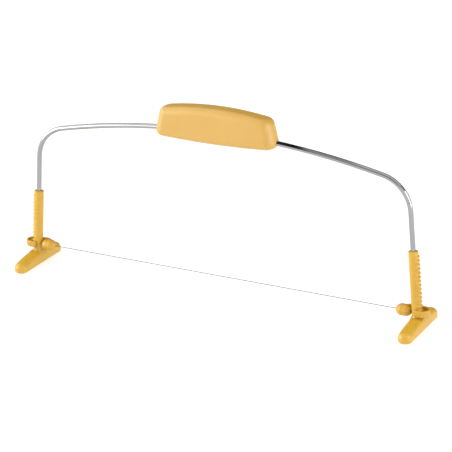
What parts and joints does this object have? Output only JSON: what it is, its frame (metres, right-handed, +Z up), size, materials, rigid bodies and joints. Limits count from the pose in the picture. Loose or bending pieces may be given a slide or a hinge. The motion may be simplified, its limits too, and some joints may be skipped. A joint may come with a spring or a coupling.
{
  "type": "adjustable wire slicer",
  "caption": "Steel bow on two feet with a moulded handle, ribbed sleeves and hook sliders that hold a straight cutting wire at a set height.",
  "frame": {"origin": "on the table, midway between the two feet and in the plane of the bow", "axes": "+X along the bow towards the right foot, +Y from front to back along the feet, +Z up"},
  "size_m": [0.3586, 0.062, 0.156],
  "materials": {
    "bow_steel": "polished stainless steel rod",
    "handle_plastic": "warm yellow moulded plastic, fine satin texture",
    "frame_plastic": "warm yellow moulded plastic, satin",
    "slider_plastic": "warm yellow moulded plastic, satin",
    "wire_steel": "drawn stainless wire",
    "ferrule_metal": "crimped steel"
  },
  "bodies": {
    "root": {"frame_rod": "bow_steel", "handle_front_shell": "handle_plastic", "handle_back_shell": "handle_plastic", "sleeve_left": "frame_plastic", "sleeve_right": "frame_plastic", "foot_left": "frame_plastic", "foot_right": "frame_plastic"},
    "left_slider": {"slider_left": "slider_plastic"},
    "right_slider": {"slider_right": "slider_plastic"},
    "wire": {"cutting_wire": "wire_steel", "wire_ferrule_left": "ferrule_metal", "wire_ferrule_right": "ferrule_metal"}
  },
  "joints": [
    {"name": "left_slider_height", "type": "slide", "parent": "root", "child": "left_slider", "axis": [0.0753, 0, 0.9972], "range_m": [0, 0.0396]},
    {"name": "right_slider_height", "type": "slide", "parent": "root", "child": "right_slider", "axis": [-0.0753, 0, 0.9972], "range_m": [0, 0.0396]},
    {"name": "wire_height", "type": "slide", "parent": "root", "child": "wire", "axis": [0, 0, 1], "range_m": [0, 0.0396]}
  ],
  "couplings": [
    {"joint": "right_slider_height", "follows": "left_slider_height", "ratio": 1},
    {"joint": "wire_height", "follows": "left_slider_height", "ratio": 0.99716}
  ]
}
